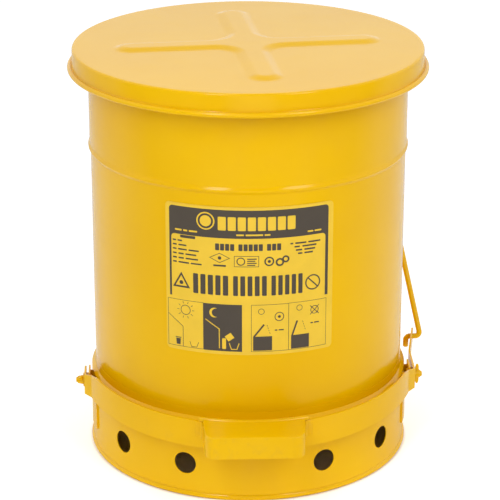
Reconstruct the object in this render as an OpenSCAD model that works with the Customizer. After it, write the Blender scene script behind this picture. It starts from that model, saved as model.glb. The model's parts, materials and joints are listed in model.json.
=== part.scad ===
// Self-closing oily waste can: a sheet-steel drum on a vented base ring, with a lid that a
// foot pedal lifts through a side rod. Millimetres, +Z up, the front towards -Y. The origin
// is on the drum's axis at floor level, and everything is drawn with the lid closed.

/* [Body] */
// Outer radius of the body wall below the step bead
body_r = 176; // [174:0.5:178]
// Height of the rim's top above the floor
rim_z = 467.3; // [445:0.1:467.3]
// Thickness of the body and lid sheet
sheet_t = 0.8; // [0.7:0.1:1]
// Height of the step bead's centre
step_z = 358; // [300:1:390]
// How far the wall steps out above the bead
step_out = 1; // [0.5:0.1:1.5]
// How far the step bead stands proud of the upper wall
step_bead = 1.6; // [1:0.1:2]
// Outer radius of the curl around the rim
rim_curl_r = 3.4; // [2.6:0.1:3.6]

/* [Base] */
// Height of the raised bottom's underside
pan_z = 62; // [58:1:70]
// Outer radius of the base ring
ring_r = 181; // [180:0.5:182]
// Thickness of the base ring's sheet
ring_t = 1; // [0.8:0.1:1.2]
// Height of the base ring's top edge
ring_top_z = 104; // [100:1:110]
// Radius of each vent hole
vent_r = 12.7; // [8:0.1:14]
// Height of the vent holes' centres
vent_z = 39.3; // [32:0.1:40]
// Angle of the first vent from the front or the back
vent_first_deg = 25; // [20:1:28]
// Angle between the two vents on each side
vent_step_deg = 28.2; // [20:0.2:30]

/* [Lid] */
// Height of the lid's flat top
lid_z = 468.6; // [468.6:0.1:471]
// Radius of the lid at its top edge
lid_top_r = 194; // [192:0.5:194]
// Outermost radius of the rolled bead at the skirt's foot
lid_bead_r = 199.5; // [198.5:0.5:200]
// Height of the rolled bead's centre
lid_bead_z = 446.6; // [446:0.1:448]
// Height of the pressed cross above the lid
rib_h = 3; // [2:0.5:4]
// Length of each arm of the cross, from the centre
rib_len = 149; // [120:1:160]
// Width of the arms
rib_w = 33; // [24:1:40]
// Turn of the cross about the can's axis
rib_turn_deg = 5.5; // [0:0.5:45]

/* [Lid hinge] */
// Distance of the hinge pin behind the can's axis
hinge_y = 212; // [211:0.5:214]
// Height of the hinge pin
hinge_z = 440.6; // [440:0.1:441]
// Radius of the hinge pin
hinge_pin_r = 3; // [2.5:0.1:3.2]
// Distance from the hinge pin to the rod's end on the crank ear
crank_r = 20; // [18:0.5:21]

/* [Foot lever] */
// Distance of the lever's pivots in front of the can's axis
pivot_ahead = 38; // [36:1:40]
// Height of the lever's pivots
pivot_z = 85; // [83:1:86]
// Thickness of the foot strap
strap_t = 2; // [1.8:0.1:2.2]
// Inner radius of the strap's arc round the front
strap_r = 188.5; // [188:0.5:190]
// How far the arc's centre lies in front of the can's axis
strap_ahead = 5; // [4:0.5:6]
// Inner face of the flat pads that the pivots go through
pad_x = 186.5; // [186.5:0.1:187]
// Height of the strap's band round the front
strap_h = 32.5; // [28:0.5:34]
// Tilt of the lever at rest, with its front low
lever_tilt_deg = 3.5; // [3:0.1:4]
// Outward flare of the right-hand arm
arm_flare_deg = 9.5; // [8:0.1:10]

/* [Pedal] */
// Width of the pedal where it meets the strap
pedal_back_w = 118.7; // [100:0.1:124]
// Width of the pedal at its front edge
pedal_front_w = 106.6; // [90:0.1:110]
// Distance of the pedal's front edge ahead of the pivots
pedal_reach = 196; // [188:1:200]
// Height of the pedal's skirt
pedal_h = 24.2; // [18:0.1:26]
// Radius of the pedal's front corners
pedal_corner_r = 12; // [8:1:16]

/* [Lift rod] */
// Diameter of the lift rod
rod_d = 6.35; // [6:0.05:6.4]
// Centreline radius of the bends in the hook
hook_bend_r = 4.8; // [4.6:0.1:5]
// Centreline radius of the bend at the top
top_bend_r = 12; // [10:1:16]

/* [Label] */
// Width of the label, measured round the body
label_w = 186; // [150:1:190]
// Height of the label's lower edge
label_z = 172; // [160:1:180]
// Height of the label
label_h = 168; // [120:1:170]
// Turn of the label away from the front
label_turn_deg = -2; // [-5:0.5:5]

/* [Hidden] */
$fn = 96;
paint = "gold";
plating = "silver";
print_colour = "darkslategray";
touch = 0.01;                         // overlap that joins two stretches of one sheet
cut = 1;                              // how far a cutter runs past what it cuts
body_top_r = body_r + step_out;       // outer radius of the wall above the step
body_in_r = body_r - sheet_t;         // inner radius of the lower wall
wall_foot_z = 52;                     // lower edge of the body wall, above the vents
step_half = 5;                        // half the height of the step bead
rim_curl_z = rim_z - rim_curl_r;
joggle_low_z = ring_top_z - 12;       // the base ring steps in over this stretch
joggle_high_z = ring_top_z - 8;
foot_bead_r = 3.6;                    // the wired bead the can stands on
foot_bead_z = 3.3;
foot_bead_in = 1.6;                   // its centre lies this far inside the ring's outer face
lid_bead_tube_r = 2.9;
lid_corner_r = 2.4;                   // rounded top edge of the lid
lid_corner_z = lid_z - lid_corner_r;
lid_foot_r = lid_bead_r - 2 * lid_bead_tube_r + sheet_t;
lid_lean = (lid_top_r - lid_foot_r) / (lid_corner_z - lid_bead_z);
leaf_t = 2;                           // thickness of the hinge leaves and ears
leaf_gap = 0.05;
running_fit = 0.05;                   // radial clearance where a part turns on a pin
ear_r = 8;
body_ear_x = 34;                      // inner faces of the body's hinge ears
lid_ear_x = 38;                       // inner faces of the lid's hinge ears
crank_x = 60;                         // inner face of the crank ear
crank_y = hinge_y - crank_r * cos(30);
crank_z = hinge_z - crank_r * sin(30);
crank_slack = [1.4, 0.93];            // the rod's end drifts this way in its hole as the lid rises
crank_hole_r = 5.25;
leaf_low_z = 451.2;                   // the lid's leaf sits on the skirt above the bead
leaf_high_z = 461.5;
leaf_mid_z = (leaf_low_z + leaf_high_z) / 2;
pin_half_l = 44;
push_nut_t = 1.2;
rivet_r = 2.4;
rivet_head_r = 4.6;
rivet_head_t = 1.4;
bolt_r = 3.175;
bracket_x = 183.8;                    // outer face of the pivot brackets
bracket_t = 1.8;
bracket_half_w = 12;
bracket_low_z = 28;                   // the foot's lower end
bridge_low_z = 70;                    // where the foot meets the bridge
bracket_high_z = 98;
foot_turn_deg = asin(pivot_ahead / (ring_r + bracket_t));
foot_half_deg = bracket_half_w / ring_r * 180 / PI;
foot_lap = 2;                         // how far the foot runs up into the bridge
bushing_r = 4.75;
bushing_end_x = pad_x + strap_t + 0.5;
washer_r = 8;
washer_t = 1.2;
wing_nut_l = 6.5;
wing_span_r = 12.5;
wing_t = 1.9;
bolt_end_x = 198.5;
arc_y = pivot_ahead - strap_ahead;    // centre of the strap's arc, seen from the pivots
joggle_y = -28;                       // where the arc steps out to the flat pads
pad_y = -18;
flare_y = 34;                         // where the right-hand arm starts to flare
band_low = -8.6;                      // the band's edges, seen from the pivots
band_high = band_low + strap_h;
arm_r = 10;                           // rounded end of the arm
hook_y = 98.4;                        // the rod's hole in the arm, seen from the pivots
hook_z = -1;
pedal_t = 2;
pedal_top = band_high + 3.1;
lip_r = 2.2;                          // rounded lip over the strap's top edge
rod_r = rod_d / 2;
rod_hole_r = rod_r + running_fit;
bend_swell = 0.02;                    // bends are a hair thicker than the straights
bend_overlap = 0.05;                  // and the straights run a hair into them
hook_leg_x = 191;                     // the short leg behind the arm
hook_out_x = 209.2;                   // the corner outside the arm
hook_leg_l = 13;
rod_top_x = 135.2;                    // where the rod turns in towards the crank ear
rod_end_x = 50;
label_t = 0.3;
collar_edge_t = 0.25;                 // the base ring's collar thins out against the body

// A point given from the pivots, moved to where the tilted lever holds it.
function on_lever(x, y, z) = [
    x,
    y * cos(lever_tilt_deg) - z * sin(lever_tilt_deg) - pivot_ahead,
    y * sin(lever_tilt_deg) + z * cos(lever_tilt_deg) + pivot_z
];
function unit(v) = v / norm(v);
function circle_x(r, y) = sqrt(r * r - y * y);
function lid_skirt_r(z) = lid_foot_r + lid_lean * (z - lid_bead_z);

rod_hole = on_lever(pad_x + strap_t / 2 + (hook_y - flare_y) * tan(arm_flare_deg), hook_y, hook_z);

// ---- shared shapes ----

// A straight stretch of thin wall in a turned section, between two heights.
module wall(outer_r, t, low, high) {
    translate([outer_r - t, low]) square([t, high - low]);
}

// A sloping stretch of thin wall in a turned section.
module sloped_wall(low_r, low, high_r, high, t) {
    polygon([[low_r - t, low], [low_r, low], [high_r, high], [high_r - t, high]]);
}

// A tube's section: sheet rolled into a circle.
module curl(r, t) {
    difference() {
        circle(r);
        circle(r - t);
    }
}

// Turned section swept between two angles; zero is the front and positive is to the right.
module swept(from_deg, to_deg) {
    rotate([0, 0, from_deg - 90]) rotate_extrude(angle = to_deg - from_deg) children();
}

// A flat shape drawn in Y and Z, given thickness along X from one face.
module upright(x, t) {
    translate([x, 0, 0]) rotate([90, 0, 90]) linear_extrude(t) children();
}

// A solid or hollow cylinder along X.
module x_rod(x0, x1, r) {
    translate([x0, 0, 0]) rotate([0, 90, 0]) cylinder(h = x1 - x0, r = r);
}
module x_tube(x0, x1, r, bore_r) {
    difference() {
        x_rod(x0, x1, r);
        x_rod(x0 - cut, x1 + cut, bore_r);
    }
}

// The same piece on the left and on the right.
module both_sides() {
    children();
    mirror([1, 0, 0]) children();
}

// The lever's own frame: its origin is on the pivots' axis.
module lever_frame() {
    translate([0, -pivot_ahead, pivot_z]) rotate([lever_tilt_deg, 0, 0]) children();
}
module pivot_frame() {
    translate([0, -pivot_ahead, pivot_z]) children();
}

// ---- body ----

module body_shell() {
    color(paint) rotate_extrude() {
        wall(body_r, sheet_t, wall_foot_z, step_z - step_half);
        step_section();
        wall(body_top_r, sheet_t, step_z + step_half, rim_curl_z);
        translate([body_top_r - sheet_t + rim_curl_r, rim_curl_z]) rim_section();
    }
}

// The bead: the sheet swells out and comes back to the wider upper wall.
module step_section() {
    steps = 12;
    function step_r(u) = body_r + step_out * u + (step_bead + step_out * (1 - u)) * pow(sin(180 * u), 2);
    outer = [for (i = [0:steps]) [step_r(i / steps), step_z + step_half * (2 * i / steps - 1)]];
    inner = [for (i = [steps:-1:0]) [outer[i][0] - sheet_t, outer[i][1]]];
    polygon(concat(outer, inner));
}

// The rim is rolled outwards and stops short of the wall again.
module rim_section() {
    difference() {
        curl(rim_curl_r, sheet_t);
        polygon([[0, 0], [-2 * rim_curl_r, 0], [-2 * rim_curl_r, -2 * rim_curl_r], [-rim_curl_r, -2 * rim_curl_r]]);
    }
}

module raised_bottom() {
    color(paint) rotate_extrude() {
        translate([0, pan_z]) square([body_in_r, sheet_t]);
        wall(body_in_r, sheet_t, wall_foot_z, pan_z + touch);
    }
}

module base_ring() {
    color(paint) difference() {
        rotate_extrude() {
            intersection() {
                translate([ring_r - foot_bead_in, foot_bead_z]) circle(foot_bead_r);
                translate([ring_r - foot_bead_in - foot_bead_r, 0]) square(2 * foot_bead_r);
            }
            wall(ring_r, ring_t, foot_bead_z, joggle_low_z);
            sloped_wall(ring_r, joggle_low_z, body_r + ring_t, joggle_high_z, ring_t);
            polygon([[body_r, joggle_high_z], [body_r + ring_t, joggle_high_z],
                     [body_r + collar_edge_t, ring_top_z], [body_r, ring_top_z]]);
        }
        for (side = [0, 180], turn = [-1, 1], n = [0, 1])
            rotate([0, 0, side + turn * (vent_first_deg + n * vent_step_deg)])
                translate([0, 0, vent_z]) rotate([90, 0, 0]) cylinder(h = ring_r + cut, r = vent_r);
    }
}

module front_label() {
    half_deg = label_w / body_r * 90 / PI;
    color(print_colour) swept(label_turn_deg - half_deg, label_turn_deg + half_deg)
        translate([body_r, label_z]) square([label_t, label_h]);
}

// ---- lid hinge, body side ----

module body_hinge_bracket() {
    color(paint) difference() {
        union() {
            swept(180 - 12, 180 + 12)
                translate([body_top_r, 398]) square([leaf_t, 36]);
            both_sides() upright(body_ear_x, leaf_t) body_ear_outline();
        }
        rotate_extrude() translate([0, 390]) square([body_top_r, 60]);
        translate([0, hinge_y, hinge_z]) x_rod(-50, 50, hinge_pin_r);
        body_rivet_places() cylinder(h = 12, r = rivet_r, center = true);
    }
}

module body_ear_outline() {
    polygon([[166, 400], [166, 434], [hinge_y - 9, 437.5], [hinge_y, hinge_z + ear_r - 1],
             [hinge_y + ear_r - 1, hinge_z], [hinge_y - 2, hinge_z - ear_r + 0.3], [184, 400]]);
    translate([hinge_y, hinge_z]) circle(ear_r);
}

module body_rivet_places() {
    for (angle = [-7, 7], z = [406, 426])
        rotate([0, 0, angle]) translate([0, body_top_r, z]) rotate([-90, 0, 0]) children();
}

// Solid rivets: a shank through sheet and leaf, with a head outside and a tail inside.
module rivet(grip, from) {
    translate([0, 0, from]) cylinder(h = grip, r = rivet_r);
    translate([0, 0, from + grip]) cylinder(h = rivet_head_t, r1 = rivet_head_r, r2 = rivet_head_r - 1);
}

module body_hinge_rivets() {
    color(paint) body_rivet_places() rivet(leaf_t + 0.25, 0);
}

module hinge_pin() {
    color(plating) translate([0, hinge_y, hinge_z]) x_rod(-pin_half_l, pin_half_l, hinge_pin_r);
}

module hinge_pin_caps() {
    color(plating) both_sides() translate([0, hinge_y, hinge_z])
        x_tube(lid_ear_x + leaf_t + 0.6, lid_ear_x + leaf_t + 0.6 + push_nut_t, 2 * hinge_pin_r, hinge_pin_r);
}

// ---- foot lever pivots on the base ring ----

// A bridge over the ring's wall, and a foot that lies on the wall below it.
module pivot_bracket() {
    inner = bracket_x - bracket_t;
    difference() {
        union() {
            translate([0, -pivot_ahead - bracket_half_w, bridge_low_z]) {
                translate([inner, 0, 0])
                    cube([bracket_t, 2 * bracket_half_w, bracket_high_z - bridge_low_z]);
                for (y = [0, 2 * bracket_half_w - bracket_t])
                    translate([inner - 12, y, 0])
                        cube([12 + touch, bracket_t, joggle_low_z - bridge_low_z]);
            }
            swept(90 - foot_turn_deg - foot_half_deg, 90 - foot_turn_deg + foot_half_deg)
                translate([ring_r - touch, bracket_low_z]) square([bracket_t + touch, bridge_low_z + foot_lap - bracket_low_z]);
        }
        cylinder(h = ring_top_z, r = ring_r);
        pivot_frame() x_rod(inner - cut, bracket_x + cut, bolt_r);
    }
}

module left_pivot_bracket() {
    color(paint) mirror([1, 0, 0]) pivot_bracket();
}

module right_pivot_bracket() {
    color(paint) pivot_bracket();
}

module pivot_bolts() {
    color(paint) both_sides() pivot_frame() {
        x_rod(bracket_x - bracket_t - 2.5, bracket_x - bracket_t, 6.4);
        x_rod(bracket_x - bracket_t, bolt_end_x, bolt_r);
    }
}

module pivot_bushings() {
    color(plating) both_sides() pivot_frame() x_tube(bracket_x, bushing_end_x, bushing_r, bolt_r);
}

module pivot_spacers() {
    color(paint) both_sides() pivot_frame() x_tube(bracket_x, pad_x - 0.3, washer_r, bushing_r);
}

module pivot_washers() {
    color(paint) both_sides() pivot_frame()
        x_tube(bushing_end_x, bushing_end_x + washer_t, washer_r, bolt_r);
}

module wing_nut(turn_deg) {
    start = bushing_end_x + washer_t;
    pivot_frame() difference() {
        union() {
            x_rod(start, start + wing_nut_l, 4.6);
            rotate([turn_deg, 0, 0]) for (side = [0, 180])
                rotate([side, 0, 0]) translate([0, wing_t / 2, 0]) rotate([90, 0, 0])
                    linear_extrude(wing_t) wing_outline(start);
        }
        x_rod(start - cut, start + wing_nut_l + cut, bolt_r);
    }
}

// One wing, drawn along the bolt and out from it.
module wing_outline(start) {
    polygon([[start + 1, 4], [start + wing_nut_l - 0.5, 4], [start + wing_nut_l + 0.2, wing_span_r - 3.3],
             [start + 1.6, wing_span_r - 3.3]]);
    translate([start + 3.9, wing_span_r - 3.3]) circle(2.8);
}

module left_wing_nut() {
    color(paint) mirror([1, 0, 0]) wing_nut(52);
}

module right_wing_nut() {
    color(paint) wing_nut(0);
}

// ---- lid ----

module lid_cover() {
    color(paint) union() {
        difference() {
            rotate_extrude() lid_section();
            translate([0, 0, lid_z - sheet_t - cut]) linear_extrude(sheet_t + 2 * cut) cross(sheet_t);
        }
        difference() {
            translate([0, 0, lid_z - sheet_t]) linear_extrude(rib_h + sheet_t) cross(0);
            translate([0, 0, lid_z - sheet_t - cut]) linear_extrude(rib_h + cut) cross(sheet_t);
        }
    }
}

// Half section of the lid: flat top, rounded edge, flared skirt and a bead rolled outwards.
module lid_section() {
    translate([0, lid_z - sheet_t]) square([lid_top_r - lid_corner_r, sheet_t]);
    intersection() {
        translate([lid_top_r - lid_corner_r, lid_corner_z]) curl(lid_corner_r, sheet_t);
        translate([lid_top_r - lid_corner_r, lid_corner_z]) square(lid_corner_r);
    }
    sloped_wall(lid_foot_r, lid_bead_z, lid_top_r, lid_corner_z, sheet_t);
    translate([lid_bead_r - lid_bead_tube_r, lid_bead_z]) difference() {
        curl(lid_bead_tube_r, sheet_t);
        polygon([[0, 0], [-2 * lid_bead_tube_r, 0], [-2 * lid_bead_tube_r, 3], [-3, 3]]);
    }
}

// The raised cross: two bars with round ends, and a fillet in each inner corner.
module cross(inset) {
    half = rib_w / 2 - inset;
    reach = rib_len - rib_w / 2;
    fillet = 22 + inset;
    rotate([0, 0, rib_turn_deg]) {
        for (turn = [0, 90]) rotate([0, 0, turn]) {
            translate([-reach, -half]) square([2 * reach, 2 * half]);
            for (end = [-1, 1]) translate([end * reach, 0]) circle(half);
        }
        for (turn = [0:90:270]) rotate([0, 0, turn]) difference() {
            square(half + fillet);
            translate([half + fillet, half + fillet]) circle(fillet);
        }
    }
}

module lid_hinge_bracket() {
    low_r = lid_skirt_r(leaf_low_z) + leaf_gap;
    high_r = lid_skirt_r(leaf_high_z) + leaf_gap;
    color(paint) difference() {
        union() {
            swept(180 - 18.8, 180 + 12)
                sloped_wall(low_r + leaf_t, leaf_low_z, high_r + leaf_t, leaf_high_z, leaf_t);
            both_sides() upright(lid_ear_x, leaf_t) lid_ear_outline();
            upright(crank_x, leaf_t) crank_outline();
        }
        translate([0, hinge_y, hinge_z]) x_rod(-50, 50, hinge_pin_r + running_fit);
        translate([0, crank_y + crank_slack[0], crank_z + crank_slack[1]])
            x_rod(crank_x - cut, crank_x + leaf_t + cut, crank_hole_r);
        lid_rivet_places() cylinder(h = 12, r = rivet_r, center = true);
    }
}

module lid_ear_outline() {
    polygon([[191.3, leaf_low_z], [191.3, leaf_high_z], [202, leaf_high_z], [hinge_y + ear_r - 1, hinge_z + 3.5],
             [hinge_y, hinge_z - ear_r + 0.2], [hinge_y - 6, hinge_z - 5], [197.2, 446], [197.2, leaf_low_z]]);
    translate([hinge_y, hinge_z]) circle(ear_r);
}

module crank_outline() {
    hole_y = crank_y + crank_slack[0];
    hole_z = crank_z + crank_slack[1];
    polygon([[185.6, leaf_low_z], [185.6, leaf_high_z], [198, leaf_high_z], [hole_y + 10, hole_z + 1],
             [hole_y, hole_z], [190.9, hole_z + 8], [190.9, leaf_low_z]]);
    translate([hole_y, hole_z]) circle(10);
}

module lid_rivet_places() {
    for (angle = [-8, 0, 8])
        rotate([0, 0, angle]) translate([0, lid_skirt_r(leaf_mid_z - rivet_r), leaf_mid_z])
            rotate([-90, 0, 0]) children();
}

module lid_hinge_rivets() {
    color(paint) lid_rivet_places() rivet(leaf_t + 0.25, 0);
}

// ---- foot lever ----

// The strap seen from above: arc round the front, pads at the pivots, and one arm.
module strap_plan() {
    outer_r = strap_r + strap_t;
    arc_x = circle_x(strap_r, joggle_y - arc_y);
    outer_x = circle_x(outer_r, joggle_y - arc_y);
    intersection() {
        translate([0, arc_y]) difference() {
            circle(outer_r);
            circle(strap_r);
        }
        translate([-outer_r, joggle_y - 2 * outer_r]) square([2 * outer_r, 2 * outer_r + touch]);
    }
    for (side = [-1, 1]) scale([side, 1]) {
        polygon([[arc_x, joggle_y], [outer_x, joggle_y], [pad_x + strap_t, pad_y - 0.6],
                 [pad_x + strap_t, pad_y + touch], [pad_x, pad_y + touch]]);
        translate([pad_x, pad_y]) square([strap_t, flare_y - pad_y]);
    }
    translate([pad_x, flare_y]) arm_plan();
}

// The arm leans outwards from its inner corner.
module arm_plan() {
    rotate([0, 0, -arm_flare_deg]) translate([0, -touch]) square([strap_t, 90]);
    polygon([[0, 0], [strap_t, 0], [strap_t * cos(arm_flare_deg), -strap_t * sin(arm_flare_deg)]]);
}

// The strap seen from its sides.
module left_side() {
    ear_c = 3.5;
    ear_end_r = 11.5;
    polygon([[-170, band_low], [-170, band_high], [-45, band_high], [-14, ear_c + ear_end_r],
             [2.5, ear_c + ear_end_r], [2.5, ear_c - ear_end_r], [-20, band_low]]);
    translate([2.5, ear_c]) circle(ear_end_r);
}

module right_side() {
    polygon([[-170, band_low], [-170, band_high], [-45, band_high], [-14, 15],
             [hook_y, hook_z + arm_r], [hook_y, hook_z - arm_r], [-20, band_low]]);
    translate([hook_y, hook_z]) circle(arm_r);
}

module foot_strap() {
    color(paint) lever_frame() difference() {
        intersection() {
            translate([0, 0, band_low - 10]) linear_extrude(strap_h + 20) strap_plan();
            union() {
                upright(0, 230) right_side();
                upright(-230, 230) left_side();
            }
        }
        x_rod(-230, 230, bushing_r + running_fit);
        translate([0, hook_y, hook_z]) x_rod(180, 230, rod_hole_r);
    }
}

// ---- pedal ----

// The pedal seen from above, drawn in by the given amount.
module pedal_plan(inset) {
    back = pedal_back_w / 2 - inset;
    front = pedal_front_w / 2 - inset;
    front_y = -pedal_reach + inset;
    r = pedal_corner_r - inset;
    polygon([[-back, -140], [back, -140], [front, front_y + r], [front - r, front_y],
             [-front + r, front_y], [-front, front_y + r]]);
    for (side = [-1, 1]) translate([side * (front - r), front_y + r]) circle(r);
}

module foot_pedal() {
    lip_path_r = strap_r + strap_t / 2;
    color(paint) lever_frame() union() {
        difference() {
            translate([0, 0, pedal_top - pedal_h]) linear_extrude(pedal_h) pedal_plan(0);
            translate([0, 0, pedal_top - pedal_h - cut])
                linear_extrude(pedal_h - pedal_t + cut) pedal_plan(pedal_t);
            translate([0, arc_y, 0]) cylinder(h = 100, r = strap_r + strap_t, center = true);
        }
        intersection() {
            translate([0, arc_y, pedal_top - lip_r / 2]) rotate_extrude()
                translate([lip_path_r + 0.6, 0]) circle(lip_r - 0.1);
            translate([-pedal_back_w / 2, -200, 0]) cube([pedal_back_w, 120, 60]);
        }
    }
}

// ---- lift rod ----

rod_points = [
    [hook_leg_x, rod_hole[1], rod_hole[2] - hook_leg_l],
    [hook_leg_x, rod_hole[1], rod_hole[2]],
    [hook_out_x, rod_hole[1], rod_hole[2]],
    [rod_top_x, crank_y, crank_z],
    [rod_end_x, crank_y, crank_z]
];
rod_bends = [0, hook_bend_r, hook_bend_r, top_bend_r, 0];

rod_last = len(rod_points) - 1;

function cross_product(a, b) = [
    a[1] * b[2] - a[2] * b[1], a[2] * b[0] - a[0] * b[2], a[0] * b[1] - a[1] * b[0]
];

// Direction of each straight, the side each bend turns to, and its plane's normal.
rod_way = [for (i = [0:rod_last - 1]) unit(rod_points[i + 1] - rod_points[i])];
function rod_turn(i) = acos(rod_way[i - 1] * rod_way[i]);
function rod_inward(i) = unit(rod_way[i] - rod_way[i - 1] * (rod_way[i] * rod_way[i - 1]));
function rod_normal(i) = cross_product(rod_way[i - 1], rod_inward(i));

// Length of straight rod that a bend takes up on each side of its corner.
function bend_reach(i) = i == 0 || i == rod_last ? 0 : rod_bends[i] * tan(rod_turn(i) / 2);

// How far the wire rolls about itself between one bend's plane and the next.
function rod_roll(i) = i == 1 ? 0 : atan2(
    rod_inward(i) * rod_normal(i - 1),
    rod_inward(i) * cross_product(rod_normal(i - 1), rod_way[i - 1])
);

// The rest of the rod from corner i on, drawn from where the wire has got to, along +Z.
module rod_from(i) {
    straight = norm(rod_points[i + 1] - rod_points[i]) - bend_reach(i) - bend_reach(i + 1);
    lead = i == 0 ? 0 : bend_overlap;
    tail = i + 1 == rod_last ? 0 : bend_overlap;
    translate([0, 0, -lead]) cylinder(h = lead + straight + tail, r = rod_r);
    if (i + 1 < rod_last) {
        r = rod_bends[i + 1];
        translate([0, 0, straight]) rotate([0, 0, rod_roll(i + 1)]) translate([r, 0, 0]) {
            rotate([90, 0, 0]) rotate([0, 0, 180 - rod_turn(i + 1)])
                rotate_extrude(angle = rod_turn(i + 1)) translate([r, 0]) circle(rod_r + bend_swell);
            rotate([0, rod_turn(i + 1), 0]) translate([-r, 0, 0]) rod_from(i + 1);
        }
    }
}

module lift_rod() {
    x = rod_inward(1);
    y = rod_normal(1);
    z = rod_way[0];
    at = rod_points[0];
    color(paint)
        multmatrix([[x[0], y[0], z[0], at[0]], [x[1], y[1], z[1], at[1]], [x[2], y[2], z[2], at[2]]])
            rod_from(0);
}

module rod_washers() {
    color(plating) translate([0, crank_y, crank_z]) {
        x_tube(crank_x + leaf_t + 0.4, crank_x + leaf_t + 0.4 + washer_t, washer_r, rod_r);
        x_tube(crank_x - 0.4 - washer_t, crank_x - 0.4, washer_r, rod_r);
    }
}

module rod_push_nut() {
    color(plating) translate([0, crank_y, crank_z])
        x_tube(crank_x - 0.4 - 2 * washer_t, crank_x - 0.4 - washer_t, 6, rod_r);
}

body_shell();
raised_bottom();
base_ring();
front_label();
body_hinge_bracket();
body_hinge_rivets();
hinge_pin();
hinge_pin_caps();
left_pivot_bracket();
right_pivot_bracket();
pivot_bolts();
pivot_bushings();
pivot_spacers();
pivot_washers();
left_wing_nut();
right_wing_nut();
lid_cover();
lid_hinge_bracket();
lid_hinge_rivets();
foot_strap();
foot_pedal();
lift_rod();
rod_washers();
rod_push_nut();
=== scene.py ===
"""Builds the visible pieces of a pedal-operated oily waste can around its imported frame."""

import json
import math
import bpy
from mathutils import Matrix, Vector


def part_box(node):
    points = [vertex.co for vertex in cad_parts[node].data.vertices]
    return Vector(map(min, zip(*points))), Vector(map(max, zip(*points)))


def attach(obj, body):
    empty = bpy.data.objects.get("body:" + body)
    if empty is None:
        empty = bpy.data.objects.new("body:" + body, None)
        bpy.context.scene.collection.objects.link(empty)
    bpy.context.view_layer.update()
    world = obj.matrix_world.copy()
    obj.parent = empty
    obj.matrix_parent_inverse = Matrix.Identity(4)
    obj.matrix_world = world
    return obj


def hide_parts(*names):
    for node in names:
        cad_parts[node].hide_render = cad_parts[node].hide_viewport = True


bl_info = {
    "name": "Oily Waste Can",
    "version": (1, 0, 0),
    "blender": (4, 5, 0),
    "location": "3D View > Sidebar > Waste Can",
    "description": "Builds the painted sheet-steel pieces, label and hardware of an oily waste can",
    "category": "Add Mesh",
}

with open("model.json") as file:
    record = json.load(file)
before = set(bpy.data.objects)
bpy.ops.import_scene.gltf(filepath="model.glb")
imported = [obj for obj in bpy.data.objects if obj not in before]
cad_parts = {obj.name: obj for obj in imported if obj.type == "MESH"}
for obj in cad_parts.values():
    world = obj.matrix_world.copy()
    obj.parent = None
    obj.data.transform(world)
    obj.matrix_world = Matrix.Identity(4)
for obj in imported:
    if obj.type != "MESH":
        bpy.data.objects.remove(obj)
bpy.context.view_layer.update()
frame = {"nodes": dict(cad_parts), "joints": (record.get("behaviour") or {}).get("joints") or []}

import bmesh
import bpy
from bpy.props import FloatProperty, FloatVectorProperty, IntProperty, PointerProperty
from mathutils import Matrix, Vector

MM = 0.001
JOINTS = {joint["name"]: joint for joint in frame["joints"]}
LEVER_PIVOT = Vector(JOINTS["lever_pivot"]["pos_m"])
ROD_HOLE = Vector(JOINTS["rod_pivot"]["pos_m"])
PAINT_SLOT = "safety_yellow_paint"
PLATING_SLOT = "zinc_plating"
LABEL_SLOT = "label_print"

# Places on the frame that its boxes don't give, in metres from the can's axis and the floor.
BOLT_HEAD_X = 179.5 * MM
BRACKET_INNER_X = 182 * MM
THREAD_START_X = 192 * MM
WING_NUT_X = 190.2 * MM
ROD_LEG_X = 191 * MM
ROD_LEG_LENGTH = 13 * MM
ROD_TOP = Vector((135.2 * MM, 194.68 * MM, 430.6 * MM))
ROD_END_X = 50 * MM

# Details of the hardware and of the pressings.
ON_AXIS = 0.0002 * MM
BOLT_HEAD_RISE = 2.5 * MM
BOLT_HEAD_RADIUS = 6.4 * MM
THREAD_DEPTH = 0.55 * MM
WING_THICKNESS = 1.9 * MM
WING_NUT_LENGTH = 6.6 * MM
SEAM_RISE = 0.55 * MM
SEAM_SINK = 0.3 * MM
TREAD_HEIGHT = 27.8 * MM
FLANGE_BEND = 4 * MM
FILM_THICKNESS = 0.3 * MM
PANEL_HEIGHT = 1.5
PANEL_DISTANCE = 2.2
PANEL_TARGET = Vector((0, 0, 0.25))
LAMPS = (("key", -24, 37, 16.5, 0.42), ("fill", 33, 35, 14.5, 0.6), ("low", 0, 8, 3, 1.0))


def low(node):
    """Lowest corner of a frame node."""
    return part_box(node)[0]


def high(node):
    """Highest corner of a frame node."""
    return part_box(node)[1]


def length(name, description, default, lowest=0.0):
    """A size in metres that a user can change."""
    return FloatProperty(name=name, description=description, default=default, min=lowest, unit="LENGTH",
                         precision=5)


def angle(name, description, degrees):
    """An angle that a user can change."""
    return FloatProperty(name=name, description=description, default=math.radians(degrees), unit="ROTATION")


def colour(name, description, rgb):
    """A colour that a user can change."""
    return FloatVectorProperty(name=name, description=description, default=(*rgb, 1.0), size=4, subtype="COLOR",
                               min=0.0, max=1.0)


def share(name, description, default, highest=1.0):
    """A number from nothing to all."""
    return FloatProperty(name=name, description=description, default=default, min=0.0, max=highest)


# ---- what a user can change ----


class WastecanFinish(bpy.types.PropertyGroup):
    paint: colour("Paint", "Safety yellow powder coat", (0.83, 0.482, 0.0))
    paint_deep: colour("Deep paint", "Where the coat has run a little thicker", (0.80, 0.452, 0.0))
    paint_thin: colour("Thin paint", "Where shoes and hands have dulled the coat", (0.70, 0.40, 0.02))
    roughness: share("Roughness", "How blurred the coat's reflections are", 0.15)
    peel_size: length("Orange peel size", "Distance between the coat's ripples", 3.2 * MM)
    peel_depth: length("Orange peel depth", "Depth of the coat's ripples", 0.006 * MM)
    zinc: colour("Zinc", "Bright zinc plating", (0.62, 0.62, 0.60))
    vinyl: colour("Vinyl", "Face of the label", (0.86, 0.56, 0.035))
    ink: colour("Ink", "Printing on the label", (0.085, 0.068, 0.05))


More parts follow.
